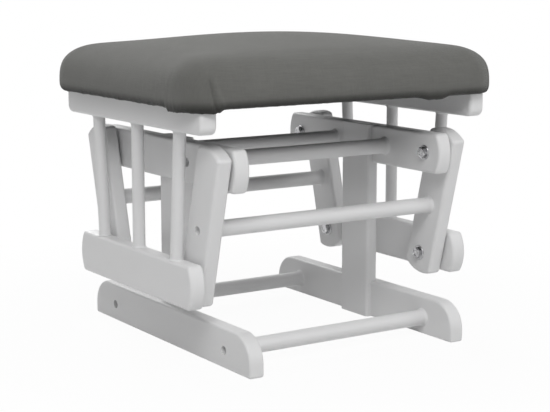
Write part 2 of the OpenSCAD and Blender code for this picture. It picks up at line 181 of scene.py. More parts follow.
# A shape turned on a lathe about X: each station is a place along X and a radius.
def turned(stations, sides=48, hollow=False):
    x, radius = stations[0]
    bpy.ops.mesh.primitive_circle_add(vertices=sides, radius=radius, fill_type="NOTHING",
                                      location=(x, 0, 0), rotation=(0, math.pi / 2, 0))
    piece = justAdded()
    edit(piece)
    bpy.ops.mesh.select_all(action="SELECT")
    if not hollow:
        bpy.ops.mesh.edge_face_add()
        pick(piece, "edges", lambda edge: True)
    for nextX, nextRadius in stations[1:]:
        bpy.ops.mesh.extrude_region_move(TRANSFORM_OT_translate={"value": (nextX - x, 0, 0)})
        if not near(nextRadius, radius):
            share = nextRadius / radius
            bpy.ops.transform.resize(value=(1, share, share), center_override=(nextX, 0, 0))
        x, radius = nextX, nextRadius
    bpy.ops.mesh.select_all(action="SELECT")
    bpy.ops.mesh.remove_doubles(threshold=within["turned"])
    outwards()
    leave()
    return piece


def camel(node):
    first, *rest = node.split("_")
    return first + "".join(word.capitalize() for word in rest)


def coat(piece, material):
    piece.data.materials.clear()
    piece.data.materials.append(material)


shading = {"angle": 35, "weight": 50}


def finishPiece(piece, name, body, slotName, material, nodes, soft=False):
    piece.name = piece.data.name = name
    coat(piece, material)
    alone(piece)
    if soft:
        bpy.ops.object.shade_smooth()
    else:
        bpy.ops.object.shade_smooth_by_angle(angle=math.radians(shading["angle"]))
        applyModifier(piece, "WEIGHTED_NORMAL", keep_sharp=True, weight=shading["weight"])
    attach(piece, body)
    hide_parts(*nodes)


# A right-hand piece of painted wood and its mirrored twin
def finishPair(made, title, body, material, node, word=""):
    for side, piece in (("right", made), ("left", mirrored(made))):
        finishPiece(piece, title + side + word.capitalize(), body, "white_paint", material,
                    [node + side + ("_" + word if word else "")])


def newMaterial(name, sockets):
    material = bpy.data.materials.new(name)
    material.use_nodes = True
    surface = material.node_tree.nodes["Principled BSDF"]
    for key, value in sockets.items():
        surface.inputs[key].default_value = value
    return material, surface


# The owner of nodes is a material or the world.
def addNode(owner, kind, inputs=None, **values):
    node = owner.node_tree.nodes.new("ShaderNode" + kind)
    for key, value in values.items():
        setattr(node, key, value)
    for key, value in (inputs or {}).items():
        node.inputs[key].default_value = value
    return node


def wire(owner, source, target):
    owner.node_tree.links.new(source, target)


def addMath(owner, operation, *values):
    node = addNode(owner, "Math", operation=operation)
    for k, value in enumerate(values):
        if isinstance(value, (int, float)):
            node.inputs[k].default_value = value
        else:
            wire(owner, value, node.inputs[k])
    return node.outputs[0]


xAxis = Vector((1, 0, 0))


# Places on the piece, with the pattern's length along the axis
def objectPlace(material, axis, stretch):
    turn = xAxis.rotation_difference(Vector(axis)).to_euler()
    place = addNode(material, "TexCoord")
    lay = addNode(material, "Mapping", {"Rotation": turn, "Scale": stretch}, vector_type="TEXTURE")
    wire(material, place.outputs["Object"], lay.inputs["Vector"])
    return lay.outputs["Vector"]


def scaled(material, vector, scale):
    size = addNode(material, "Mapping", {"Scale": scale})
    wire(material, vector, size.inputs["Vector"])
    return size.outputs["Vector"]


def softNoise(material, vector, detail, roughness=0.55):
    grain = addNode(material, "TexNoise", {"Scale": 1.0, "Detail": detail, "Roughness": roughness})
    wire(material, vector, grain.inputs["Vector"])
    return grain.outputs["Fac"]


def grainOf(material, axis, stretch, *finer):
    return softNoise(material, objectPlace(material, axis, stretch), *finer)


def spread(owner, value, low, high, start=0.0, end=1.0):
    ranged = addNode(owner, "MapRange", {"From Min": start, "From Max": end, "To Min": low, "To Max": high})
    wire(owner, value, ranged.inputs["Value"])
    return ranged.outputs["Result"]


def tint(material, value, first, second, target):
    blend = addNode(material, "Mix", data_type="RGBA")
    blend.inputs[6].default_value = (*first, 1)
    blend.inputs[7].default_value = (*second, 1)
    wire(material, value, blend.inputs[0])
    wire(material, blend.outputs[2], target)


# The sum of some values, each times its share
def summed(material, total, *terms):
    for value, share in terms:
        total = addMath(material, "MULTIPLY_ADD", value, share, total)
    return total


# Reliefs one over the other: each has its height, how deep it is and how strongly it shows.
def raised(material, surface, *layers):
    under = None
    for height, depth, strength in layers:
        bump = addNode(material, "Bump", {"Distance": depth, "Strength": strength})
        wire(material, height, bump.inputs["Height"])
        if under:
            wire(material, under, bump.inputs["Normal"])
        under = bump.outputs["Normal"]
    wire(material, under, surface.inputs["Normal"])


# A pattern has its size in metres along the piece and across it, then its detail and roughness.
# A relief has its depth and strength.
paint = {"colour": (0.815, 0.815, 0.82), "shade": (0.785, 0.785, 0.785), "roughness": 0.42, "uneven": 0.06,
         "surface": {"IOR": 1.48}, "grain": ((0.09, 0.004, 0.004), 4.0, 0.6), "grainRelief": (0.00010, 0.5),
         "brush": ((0.06, 0.0011, 0.0011), 2.0), "brushRelief": (0.00003, 0.5),
         "cloud": ((0.12, 0.05, 0.05), 2.0)}


# White lacquer over wood, with the grain and the brush marks along the piece
def makePaint(name, axis):
    material, surface = newMaterial(name, paint["surface"])
    grain, brush, cloud = (grainOf(material, axis, *paint[kind]) for kind in ("grain", "brush", "cloud"))
    tint(material, cloud, paint["colour"], paint["shade"], surface.inputs["Base Color"])
    low, high = paint["roughness"] - paint["uneven"], paint["roughness"] + paint["uneven"]
    wire(material, spread(material, brush, low, high), surface.inputs["Roughness"])
    raised(material, surface, (grain, *paint["grainRelief"]), (brush, *paint["brushRelief"]))
    return material


metals = {
    "chrome": {"colour": (0.66, 0.66, 0.67), "shade": (0.30, 0.30, 0.31), "roughness": 0.16},
    "zinc": {"colour": (0.60, 0.60, 0.61), "shade": (0.36, 0.36, 0.37), "roughness": 0.26},
    "brass": {"colour": (0.66, 0.50, 0.24), "shade": (0.48, 0.36, 0.18), "roughness": 0.34},
}
plating = {"surface": {"Metallic": 1.0}, "fine": ((0.004, 0.0004, 0.0004), 3.0), "fineRelief": (0.00003, 0.4),
           "cloud": ((0.0035, 0.0035, 0.0035), 2.0), "cloudRelief": (0.0004, 0.5), "contrast": (-0.6, 1.6),
           "smoother": 0.07, "rougher": 0.1}


def makeMetal(name, look):
    material, surface = newMaterial(name, plating["surface"])
    fine, cloud = (grainOf(material, xAxis, *plating[kind]) for kind in ("fine", "cloud"))
    patches = spread(material, cloud, *plating["contrast"])
    tint(material, patches, look["colour"], look["shade"], surface.inputs["Base Color"])
    low, high = look["roughness"] - plating["smoother"], look["roughness"] + plating["rougher"]
    wire(material, spread(material, fine, low, high), surface.inputs["Roughness"])
    raised(material, surface, (cloud, *plating["cloudRelief"]), (fine, *plating["fineRelief"]))
    return material


plywood = {"light": (0.66, 0.50, 0.31), "dark": (0.42, 0.28, 0.15), "surface": {"Roughness": 0.7},
           "plies": (0.0016, 0.05, 0.05), "bands": {"Scale": 0.32, "Distortion": 1.2, "Detail": 2.0},
           "grain": ((0.04, 0.001, 0.001), 3.0), "grainRelief": (0.0002, 0.4)}


def makePlywood():
    material, surface = newMaterial("plywood", plywood["surface"])
    bands = addNode(material, "TexWave", plywood["bands"])
    wire(material, objectPlace(material, (0, 0, 1), plywood["plies"]), bands.inputs["Vector"])
    tint(material, bands.outputs["Fac"], plywood["light"], plywood["dark"], surface.inputs["Base Color"])
    raised(material, surface, (grainOf(material, xAxis, *plywood["grain"]), *plywood["grainRelief"]))
    return material


clothLook = {
    # hem is painted shade: the near-black colour along the cloth's turned edge at the bottom
    "light": (0.184, 0.184, 0.173), "dark": (0.122, 0.123, 0.114), "hem": (0.034, 0.034, 0.031),
    "surface": {"Roughness": 0.9, "Sheen Weight": 0.24, "Sheen Roughness": 0.45, "Specular IOR Level": 0.25},
    # how many to the metre across the seat and from its front to its back, then detail and roughness
    "cloud": ((28, 28, 28), 4.0, 0.6), "warp": ((40, 1100, 1), 2.0), "weft": ((1100, 40, 1), 2.0),
    "across": ((55, 420, 1), 1.0), "along": ((420, 70, 1), 1.0),
    # how much each counts in the slubs and in the mottling, and how far the mottling is darkened
    "slubs": (0.7, 1.1), "mottle": (0.22, 0.45, 0.40), "darker": 0.30,
    "thread": 0.0009, "yarnHeight": 0.6, "slubRelief": (0.00035, 0.7), "weaveRelief": (0.00025, 0.6),
}


# Plain woven cloth. Its UV map is the flat cloth in metres, so that the threads run over the edges.
def makeCloth():
    look = clothLook
    material, surface = newMaterial("seatCloth", look["surface"])
    flat = addNode(material, "UVMap", uv_map="cloth").outputs["UV"]
    noises = {}
    for kind in ("cloud", "warp", "weft", "across", "along"):
        size, *finer = look[kind]
        noises[kind] = softNoise(material, scaled(material, flat, size), *finer)
    yarn = addMath(material, "ADD", noises["warp"], noises["weft"])
    slubs = summed(material, 0.0, *zip((noises["along"], noises["across"]), look["slubs"]))
    mottle = summed(material, -look["darker"], *zip((yarn, noises["cloud"], slubs), look["mottle"]))
    # painted shade: the hem attribute darkens the cloth towards its turned edge
    blend = addNode(material, "Mix", data_type="RGBA")
    tint(material, mottle, look["dark"], look["light"], blend.inputs[6])
    blend.inputs[7].default_value = (*look["hem"], 1)  # painted shade along the turned edge, where the cloth tucks under
    hemShadeMask = addNode(material, "Attribute", attribute_name="hem")
    wire(material, hemShadeMask.outputs["Fac"], blend.inputs[0])
    wire(material, blend.outputs[2], surface.inputs["Base Color"])
    part = addNode(material, "SeparateXYZ")
    wire(material, scaled(material, flat, (math.pi / look["thread"],) * 3), part.inputs[0])
    crossing = addMath(material, "MULTIPLY", *[addMath(material, "SINE", part.outputs[k]) for k in "XY"])
    weave = summed(material, crossing, (yarn, look["yarnHeight"]))
    raised(material, surface, (slubs, *look["slubRelief"]), (weave, *look["weaveRelief"]))
    return material


dustLook = {"dark": (0.018, 0.018, 0.020), "light": (0.045, 0.045, 0.048),
            "surface": {"Roughness": 0.95, "Specular IOR Level": 0.2},
            "fibres": ((0.0012, 0.0012, 0.0012), 3.0, 0.7), "relief": (0.0003, 0.5)}


def makeDustCloth():
    look = dustLook
    material, surface = newMaterial("dustCloth", look["surface"])
    fibres = grainOf(material, xAxis, *look["fibres"])
    tint(material, fibres, look["dark"], look["light"], surface.inputs["Base Color"])
    raised(material, surface, (fibres, *look["relief"]))
    return material


# Each rounding has its radius and its steps.
board = {"bow": 0.047, "bowSteps": 16, "bowCorner": (0.005, 4), "edge": (0.0042, 4),
         "runnerCorner": (0.034, 14), "footCorner": (0.003, 3), "railCorner": (0.010, 6),
         "postEdge": (0.004, 4), "postEnd": (0.001, 2)}
joint = {"socket": 0.006, "dowel": 0.010, "screwHole": 0.0023, "counterbore": 0.0055,
         "counterboreDepth": 0.008, "seatScrewDepth": 0.014, "fit": 0.00005, "housingEnd": 0.002}


def boxBoard(low, high):
    bpy.ops.mesh.primitive_cube_add(size=1, location=(low + high) / 2, scale=high - low)
    return justAdded()


# A board in the plane of Y and Z whose ends bow outwards, with its thickness from x = 0 outwards
def bowedBoard(length, height, thick):
    half, bow = height / 2, board["bow"]
    centre = length / 2 - bow
    straight = centre + math.sqrt(bow ** 2 - half ** 2)
    swing = math.asin(half / bow)
    bpy.ops.mesh.primitive_plane_add(size=1, rotation=(0, math.pi / 2, 0))
    bpy.context.object.scale = (height, 2 * straight, 1)
    piece = justAdded()
    edit(piece)
    for end in (1, -1):
        pick(piece, "verts", lambda v: v.co.y * end > 0 and near(v.co.z, -half))
        bpy.ops.mesh.spin(steps=board["bowSteps"], angle=2 * swing, center=(0, end * centre, 0),
                          axis=(-end, 0, 0))
    bpy.ops.mesh.select_all(action="SELECT")
    bpy.ops.mesh.remove_doubles(threshold=within["spun"])
    for end in (1, -1):
        pick(piece, "verts", lambda v: v.co.y * end > straight - within["spun"])
        bpy.ops.mesh.edge_face_add()
    pick(piece, "faces", lambda face: True)
    bpy.ops.mesh.dissolve_faces()
    bpy.ops.mesh.extrude_region_move(TRANSFORM_OT_translate={"value": (thick, 0, 0)})
    outwards()
    corner, steps = board["bowCorner"]
    corner *= math.tan((math.pi / 2 - swing) / 2)
    roundOff(piece, lambda e: alongX(e) and near(abs(e.verts[0].co.z), half), corner, steps)
    roundOff(piece, onRim, *board["edge"])
    leave()
    return piece


def bowedIn(low, high):
    return move(bowedBoard(high.y - low.y, high.z - low.z, high.x - low.x), low.x, 0, (low.z + high.z) / 2)


# The hole for a dowel's end, its screw and the screw's counterbore
def dowelHole(low, high, spot):
    end, shaft = low.x + joint["socket"], high.x - joint["counterboreDepth"]
    wide, thin, bore = joint["dowel"] + joint["fit"], joint["screwHole"], joint["counterbore"]
    return move(turned([(low.x - past, wide), (end, wide), (end, thin), (shaft, thin), (shaft, bore),
                        (high.x + past, bore)]), 0, spot.y, spot.z)


def hole(radius, start, end, spot):
    return move(turned([(start, radius), (end, radius)]), 0, spot.y, spot.z)


def bushHole(low, high, spot):
    return hole(pivot["bush"] + joint["fit"], low.x - past, high.x + past, spot)


def insertHole(low, spot):
    return hole(pivot["insert"] + joint["fit"], low.x - past, low.x + pivot["insertLength"], spot)


def middleOf(node):
    low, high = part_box(node)
    return (low + high) / 2


def frontAndRear(node):
    return [middleOf(node % end) for end in ("front", "rear")]


pivot = {"bush": 0.008, "bushFlange": 0.0095, "flangeThick": 0.0016, "bolt": 0.004, "slip": 0.0026,
         "insert": 0.006, "insertLength": 0.014, "headAcross": 0.013, "headHeight": 0.0046, "spacer": 0.0085,
         "sideGap": 0.0003,
         # how far each head is turned, in degrees: the top bolts front and rear, then the lower ones
         "turn": (12, 41, 27, 5)}


def buildBase(paints):
    low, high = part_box("post_right")
    post = boxBoard(low, high)
    edit(post)
    roundOff(post, upright, *board["postEdge"])
    roundOff(post, lambda e: near(e.verts[0].co.z, e.verts[1].co.z), *board["postEnd"])
    leave()
    fit, ends = joint["fit"], joint["housingEnd"]
    housing = boxBoard(low - Vector((ends, fit, ends)), high + Vector((fit, fit, ends)))

    low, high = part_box("runner_right")
    runner = boxBoard(low, high)
    edit(runner)
    roundOff(runner, lambda e: alongX(e) and not near(e.verts[0].co.z, 0), *board["runnerCorner"])
    roundOff(runner, lambda e: alongX(e) and near(e.verts[0].co.z, 0), *board["footCorner"])
    roundOff(runner, onRim, *board["edge"])
    leave()
    cut(runner, [another(housing)])
    cut(runner, [dowelHole(low, high, spot) for spot in frontAndRear("base_dowel_%s")])

    low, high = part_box("hanger_bar_right")
    bar = bowedIn(low, high)
    cut(bar, [housing])
    cut(bar, [dowelHole(low, high, spot) for spot in frontAndRear("hanger_dowel_%s")]
        + [bushHole(low, high, spot) for spot in frontAndRear("%s_hanger_bolts")])

    finishPair(runner, "baseRunner.", "base", paints["y"], "runner_")
    finishPair(post, "basePost.", "base", paints["z"], "post_")
    finishPair(bar, "hangerBar.", "base", paints["y"], "hanger_bar_")
    print("base built")


link = {"width": 0.051, "reachUp": 0.029, "reachDown": 0.027}


def buildLinks(paints):
    low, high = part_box("front_link_right")
    up, down = link["reachUp"], link["reachDown"]
    for word in ("front", "rear"):
        top, bottom = middleOf(word + "_hanger_bolts"), middleOf("rail_bolts_" + word)
        run, rise = top.y - bottom.y, top.z - bottom.z
        piece = bowedBoard(math.hypot(run, rise) + up + down, link["width"], high.x - low.x)
        move(piece, 0, (up - down) / 2, 0)  # the middle between the pivots comes to zero
        lean = Matrix.Rotation(math.atan2(rise, run), 4, "X")
        middle = Matrix.Translation((low.x, (top.y + bottom.y) / 2, (top.z + bottom.z) / 2))
        piece.data.transform(middle @ lean)
        cut(piece, [dowelHole(low, high, middleOf(word + "_link_dowel")), bushHole(low, high, bottom),
                    insertHole(low, top)])
        finishPair(piece, word + "Link.", word + "_links", paints[word], word + "_link_")
    print("links built")


spindle = {"radius": 0.00775, "foot": 0.094, "head": 0.1055, "seat": 0.014}
# the bead of paint on a rod: how far from the board, and how far out
bead = [(0.0032, 0.0), (0.0020, 0.00012), (0.0011, 0.0004), (0.0005, 0.0008), (0.0, 0.00135),
        (-0.0003, 0.0016)]
rodEnd = {"chamfer": 0.0005, "buried": 0.0008, "dowelBead": 1.6}


def spindlePlace(position):
    floor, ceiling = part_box("bottom_rail_right")[1].z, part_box("top_rail_right")[0].z
    x = middleOf("spindle_right_middle").x
    foot = Vector((x, position * spindle["foot"], floor))
    head = Vector((x, position * spindle["head"], ceiling))
    turn = xAxis.rotation_difference(head - foot).to_matrix().to_4x4()
    return Matrix.Translation(foot) @ turn, (head - foot).length


# A rod between two board faces, with a bead of paint where it enters each board
def rod(radius, start, end, seat, full=1.0):
    chamfer, buried = rodEnd["chamfer"], rodEnd["buried"]
    stations = [(start - seat, radius - chamfer), (start - seat + chamfer, radius), (start - buried, radius)]
    stations += [(start + full * x, radius + full * out) for x, out in reversed(bead)]
    stations += [(end - full * x, radius + full * out) for x, out in bead]
    stations += [(end + buried, radius), (end + seat - chamfer, radius), (end + seat, radius - chamfer)]
    return turned(stations)


# Where the seat screws stand in the right-hand top rail
def seatScrewSpots():
    low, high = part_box("seat_screws")
    x, z, radius = middleOf("top_rail_right").x, low.z + woodScrew["height"], woodScrew["radius"]
    return [Vector((x, y, z)) for y in (low.y + radius, high.y - radius)]


def buildRails(paints):
    holes, spindles = [], {}
    wide, reach = spindle["radius"] + joint["fit"], spindle["seat"] + joint["fit"]
    for position, word in ((-1, "front"), (0, "middle"), (1, "rear")):
        place, span = spindlePlace(position)
        spindles[word] = rod(spindle["radius"], 0, span, spindle["seat"])
        spindles[word].data.transform(place)
        drill = turned([(-reach, wide), (span + reach, wide)])
        drill.data.transform(place)
        holes.append(drill)

    low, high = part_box("bottom_rail_right")
    lower = bowedIn(low, high)
    cut(lower, [insertHole(low, spot) for spot in frontAndRear("rail_bolts_%s")]
        + [another(drill) for drill in holes])

    low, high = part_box("top_rail_right")
    upper = boxBoard(low, high)
    edit(upper)
    roundOff(upper, lambda e: alongX(e) and near(e.verts[0].co.z, low.z), *board["railCorner"])
    roundOff(upper, lambda e: onRim(e) and not near(e.verts[0].co.z + e.verts[1].co.z, 2 * high.z),
             *board["edge"])
    leave()
    depth, wide, thin = low.z + joint["seatScrewDepth"], joint["counterbore"], joint["screwHole"]
    for spot in seatScrewSpots():
        bore = turned([(low.z - past, wide), (depth, wide), (depth, thin), (high.z + past, thin)])
        bore.data.transform(Matrix.Rotation(-math.pi / 2, 4, "Y"))
        holes.append(move(bore, spot.x, spot.y, 0))
    cut(upper, holes)

    finishPair(lower, "lowerRail.", "seat_frame", paints["y"], "bottom_rail_")
    finishPair(upper, "upperRail.", "seat_frame", paints["y"], "top_rail_")
    for word, made in spindles.items():
        finishPair(made, "spindle.", "seat_frame", paints["z"], "spindle_", word)
    print("rails and spindles built")


def buildDowels(paints):
    for beside, node in (("runner_right", "base_dowel_%s"), ("hanger_bar_right", "hanger_dowel_%s"),
                         ("front_link_right", "%s_link_dowel")):
        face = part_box(beside)[0].x
        dowel = rod(joint["dowel"], -face, face, joint["socket"], rodEnd["dowelBead"])
        for piece, end in ((another(dowel), "front"), (dowel, "rear")):
            middle = middleOf(node % end)
            move(piece, 0, middle.y, middle.z)
            body = end + "_links" if "link" in node else "base"
            finishPiece(piece, camel(node % end), body, "white_paint", paints["x"], [node % end])
    print("dowels built")


# The dome has places from the head's top with radii past the flats, and the dish has plain radii.
boltHead = {"dome": [(-0.00005, -0.0006), (0.0001, -0.0003)], "domeEnd": 0.0012, "clear": 0.0001,
            "dish": [(-0.001, 0.0042), (0.0005, 0.0036), (0.0005, 0.0001)],
            "shankFrom": 0.0005, "tip": 0.0006}


def makeBolt(grip):
    across, height = pivot["headAcross"] / 2, pivot["headHeight"]
    corner = across / math.cos(math.pi / 6)
    head = turned([(-height, corner), (0, corner)], sides=6)
    clear = corner + boltHead["clear"]
    dome = turned([(x - height, across + out) for x, out in boltHead["dome"]]
                  + [(boltHead["domeEnd"] - height, clear), (past, clear)])
    cut(head, [dome], "INTERSECT")
    dish = turned([(x - height, radius) for x, radius in boltHead["dish"]])
    cut(head, [dish])
    radius, tip = pivot["bolt"], boltHead["tip"]
    shank = turned([(-boltHead["shankFrom"], radius), (grip - tip, radius), (grip, radius - tip)])
    return join([head, shank])


# The rounding of a bush's flange: place from its face, radius less the flange's
bushEdge = {"rounding": [(0, -0.0011), (0.0001, -0.0006), (0.0004, -0.0002), (0.0008, 0)], "lip": 0.0002,
            "end": 0.0004, "ring": 0.00035}


def makeBush(length, bore):
    flange, thick, body = pivot["bushFlange"], pivot["flangeThick"], pivot["bush"]
    lip, end = bushEdge["lip"], bushEdge["end"]
    rounding = [(x - thick, flange + out) for x, out in bushEdge["rounding"]]
    return turned([(-thick, bore)] + rounding
                  + [(-lip, flange), (0, flange - lip), (0, body), (length - end, body), (length, body - end),
                     (length, bore), (-thick, bore)], hollow=True)


def makeRing(start, end, outer, bore):
    ease = bushEdge["ring"]
    return turned([(start, bore), (start, outer - ease), (start + ease, outer), (end - ease, outer),
                   (end, outer - ease), (end, bore), (start, bore)], hollow=True)


woodScrew = {"radius": 0.0043, "height": 0.0028,
             # the head's crown: place from its seat, radius less the head's
             "crown": [(0, -0.0003), (0.0003, 0), (0.0012, 0), (0.0021, -0.0007), (0.0027, -0.0021),
                       (0.0028, -0.0036)],
             "slot": (0.0036, 0.0009, 0.0044), "shaft": 0.00225, "point": 0.0006, "taper": 0.004,
             "shaftFrom": 0.0002, "sides": 24, "bite": 0.030, "turn": 23}


def makeScrew(shank):
    look = woodScrew
    head = turned([(x, look["radius"] + out) for x, out in look["crown"]])
    for turn in (0, 1):
        bpy.ops.mesh.primitive_cube_add(size=1, location=(look["height"], 0, 0), scale=look["slot"])
        blade = justAdded()
        blade.data.transform(Matrix.Rotation(turn * math.pi / 2, 4, "X"))
        cut(head, [blade])
    stem = turned([(-shank, look["point"]), (look["taper"] - shank, look["shaft"]),
                   (look["shaftFrom"], look["shaft"])], sides=look["sides"])
    return join([head, stem])


# Shapes are made for the right side, heads towards the middle. Each spot gets a copy and its mirrored twin.
def setOut(shape, x, spots, turn, body, finish, node, name=""):
    made = []
    for k, spot in enumerate(spots):
        piece = another(shape)
        spin = Matrix.Rotation(math.radians(turn * (k + 1)), 4, "X")
        piece.data.transform(Matrix.Translation((x, spot.y, spot.z)) @ spin)
        made += [piece, mirrored(piece)]
    finishPiece(join(made), name or camel(node), body, *finish, [node])


def buildHardware(metal):
    barIn, barOut = (box.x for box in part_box("hanger_bar_right"))
    linkIn, linkOut = (box.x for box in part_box("front_link_right"))
    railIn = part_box("bottom_rail_right")[0].x
    tops, feet = frontAndRear("%s_hanger_bolts"), frontAndRear("rail_bolts_%s")
    lift = pivot["flangeThick"] + pivot["sideGap"]
    steel, zinc = ("bolt_steel", metal["chrome"]), ("zinc_steel", metal["zinc"])
    bushMetal = ("bush_metal", metal["zinc"])

    topBolt = makeBolt(lift + linkIn - barIn + pivot["insertLength"])
    footBolt = makeBolt(lift + railIn - linkIn + pivot["insertLength"])
    tight, wide = pivot["bolt"] + joint["fit"], pivot["bolt"] + pivot["slip"]
    topBush = makeBush(barOut - barIn, tight)
    footBushes = [makeBush(linkOut - linkIn, bore) for bore in (tight, wide)]
    topRing = makeRing(pivot["sideGap"], linkIn - barOut, pivot["spacer"], tight)
    footRing = makeRing(pivot["sideGap"], railIn - linkOut, pivot["spacer"], tight)

    setOut(topBush, barIn, tops, 0, "base", bushMetal, "hanger_bushes")
    for k, word in enumerate(("front", "rear")):
        top, foot, body = [tops[k]], [feet[k]], word + "_links"
        topTurn, footTurn = pivot["turn"][k], pivot["turn"][k + 2]
        setOut(topBolt, barIn - lift, top, topTurn, body, steel, word + "_hanger_bolts")
        setOut(topRing, barOut, top, 0, body, zinc, word + "_hanger_spacers")
        setOut(footBushes[k], linkIn, foot, 0, body, bushMetal, word + "_link_bushes")
        setOut(footBolt, linkIn - lift, foot, footTurn, "seat_frame", steel, "rail_bolts_" + word,
               word + "RailBolts")
    setOut(footRing, linkOut, feet, 0, "seat_frame", zinc, "rail_spacers")

    screw = makeScrew(woodScrew["bite"])
    for node, spots, out, body in (
            ("base_dowel_screws", frontAndRear("base_dowel_%s"), barOut, "base"),
            ("hanger_dowel_screws", frontAndRear("hanger_dowel_%s"), barOut, "base"),
            ("front_link_screws", [middleOf("front_link_dowel")], linkOut, "front_links"),
            ("rear_link_screws", [middleOf("rear_link_dowel")], linkOut, "rear_links")):
        setOut(screw, out - joint["counterboreDepth"], spots, woodScrew["turn"], body, zinc, node)

    low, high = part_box("seat_screws")
    seatScrew = makeScrew(high.z - low.z - woodScrew["height"])
    seatScrew.data.transform(Matrix.Rotation(math.pi / 2, 4, "Y"))  # its head points down
    spots = seatScrewSpots()
    setOut(seatScrew, spots[0].x, spots, 0, "seat_frame", zinc, "seat_screws")
    for used in (topBolt, footBolt, topBush, topRing, footRing, screw, seatScrew, *footBushes):
        bpy.data.objects.remove(used)
    for word in ("front_hanger_inserts", "rear_hanger_inserts", "rail_inserts"):
        coat(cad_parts[word], metal["brass"])
    print("hardware built")


seat = {
    "width": 0.4585, "depth": 0.3745, "bottom": 0.3116, "corner": 0.0415, "draw": 0.0017,
    "crown": 0.0150, "roundX": 2.0, "roundY": 2.0, "cornerRise": 0.0020, "riseFrom": 0.15, "topLess": 0.7,
    # the side's profile from under the hem up to the shoulder: inset, height above the bottom
    "side": [(0.0198, 0.0020), (0.0196, 0.0003), (0.0140, 0.0), (0.0082, 0.0002), (0.0042, 0.0012),
             (0.0017, 0.0034), (0.0004, 0.0068), (0.0, 0.0110), (0.0, 0.0157), (0.0001, 0.0204),
             (0.0004, 0.0250), (0.0010, 0.0296), (0.0020, 0.0341), (0.0034, 0.0385), (0.0055, 0.0426),
             (0.0083, 0.0465), (0.0120, 0.0500), (0.0165, 0.0531), (0.0218, 0.0556), (0.0276, 0.0576),
             (0.0338, 0.0590)],
    "cellsX": 84, "cellsY": 70, "eased": 4, "easedFrom": 0.036, "easedRun": 0.012,
    # the part turned under the board: further in and lower than these, and drawn in less
    "underInset": 0.004, "underHeight": 0.005, "underDraw": 0.6,
    # how the hem's sway fades, inwards under the board and up the side, and how high its painted shade goes
    "swayInset": 0.006, "swayRun": 0.007, "swayHeight": 0.020, "swayPower": 1.6, "hemShadeHeight": 0.0027,
}
stuffing = {"smaller": 0.0008, "smallerQuick": 0.0005, "pressure": 1.0, "frames": 20, "cap": 0.003,
            "tension": 18.0, "shear": 6.0, "bending": 0.8, "mass": 0.3, "quality": 6, "evened": 14,
            "holdBelow": 0.012, "holdRun": 0.008}


# One side of a ring of the cushion: t runs 0 to 1 from corner to corner, round the ring's corners.
def sidePoint(out, half, radius, draw, t):
    straight, quarter = half - radius, radius * math.pi / 4
    along = (2 * t - 1) * (straight + quarter)
    if abs(along) <= straight:
        return along, out - draw * (1 - (along / straight) ** 2), 0.0
    angle = (abs(along) - straight) / radius
    sign = math.copysign(1, along)
    return sign * (straight + radius * math.sin(angle)), out - radius + radius * math.cos(angle), sign * angle


def ringPoints(inset, draw):
    a, b = seat["width"] / 2 - inset, seat["depth"] / 2 - inset
    radius = seat["corner"] - inset / 2
    points = []
    sides = ((b, a, seat["cellsX"]), (a, b, seat["cellsY"])) * 2
    for turn, (out, half, cells) in enumerate(sides):
        for k in range(cells):
            along, away, angle = sidePoint(out, half, radius, draw, k / cells)
            spin = -math.pi / 2 + turn * math.pi / 2  # the front side first, then right, back and left
            ahead, aside = Vector((math.cos(spin), math.sin(spin))), Vector((-math.sin(spin), math.cos(spin)))
            place = ahead * away + aside * along
            outward = ahead * math.cos(angle) + aside * math.sin(angle)
            points.append((place, outward))
    return points


# The corners of the foam stand a little higher than the middles of the sides.
def cornerRise(place, height):
    share = abs(place.x) / (seat["width"] / 2) * abs(place.y) / (seat["depth"] / 2)
    return seat["cornerRise"] * share ** 2 * max(0.0, height / seat["side"][-1][1] - seat["riseFrom"])


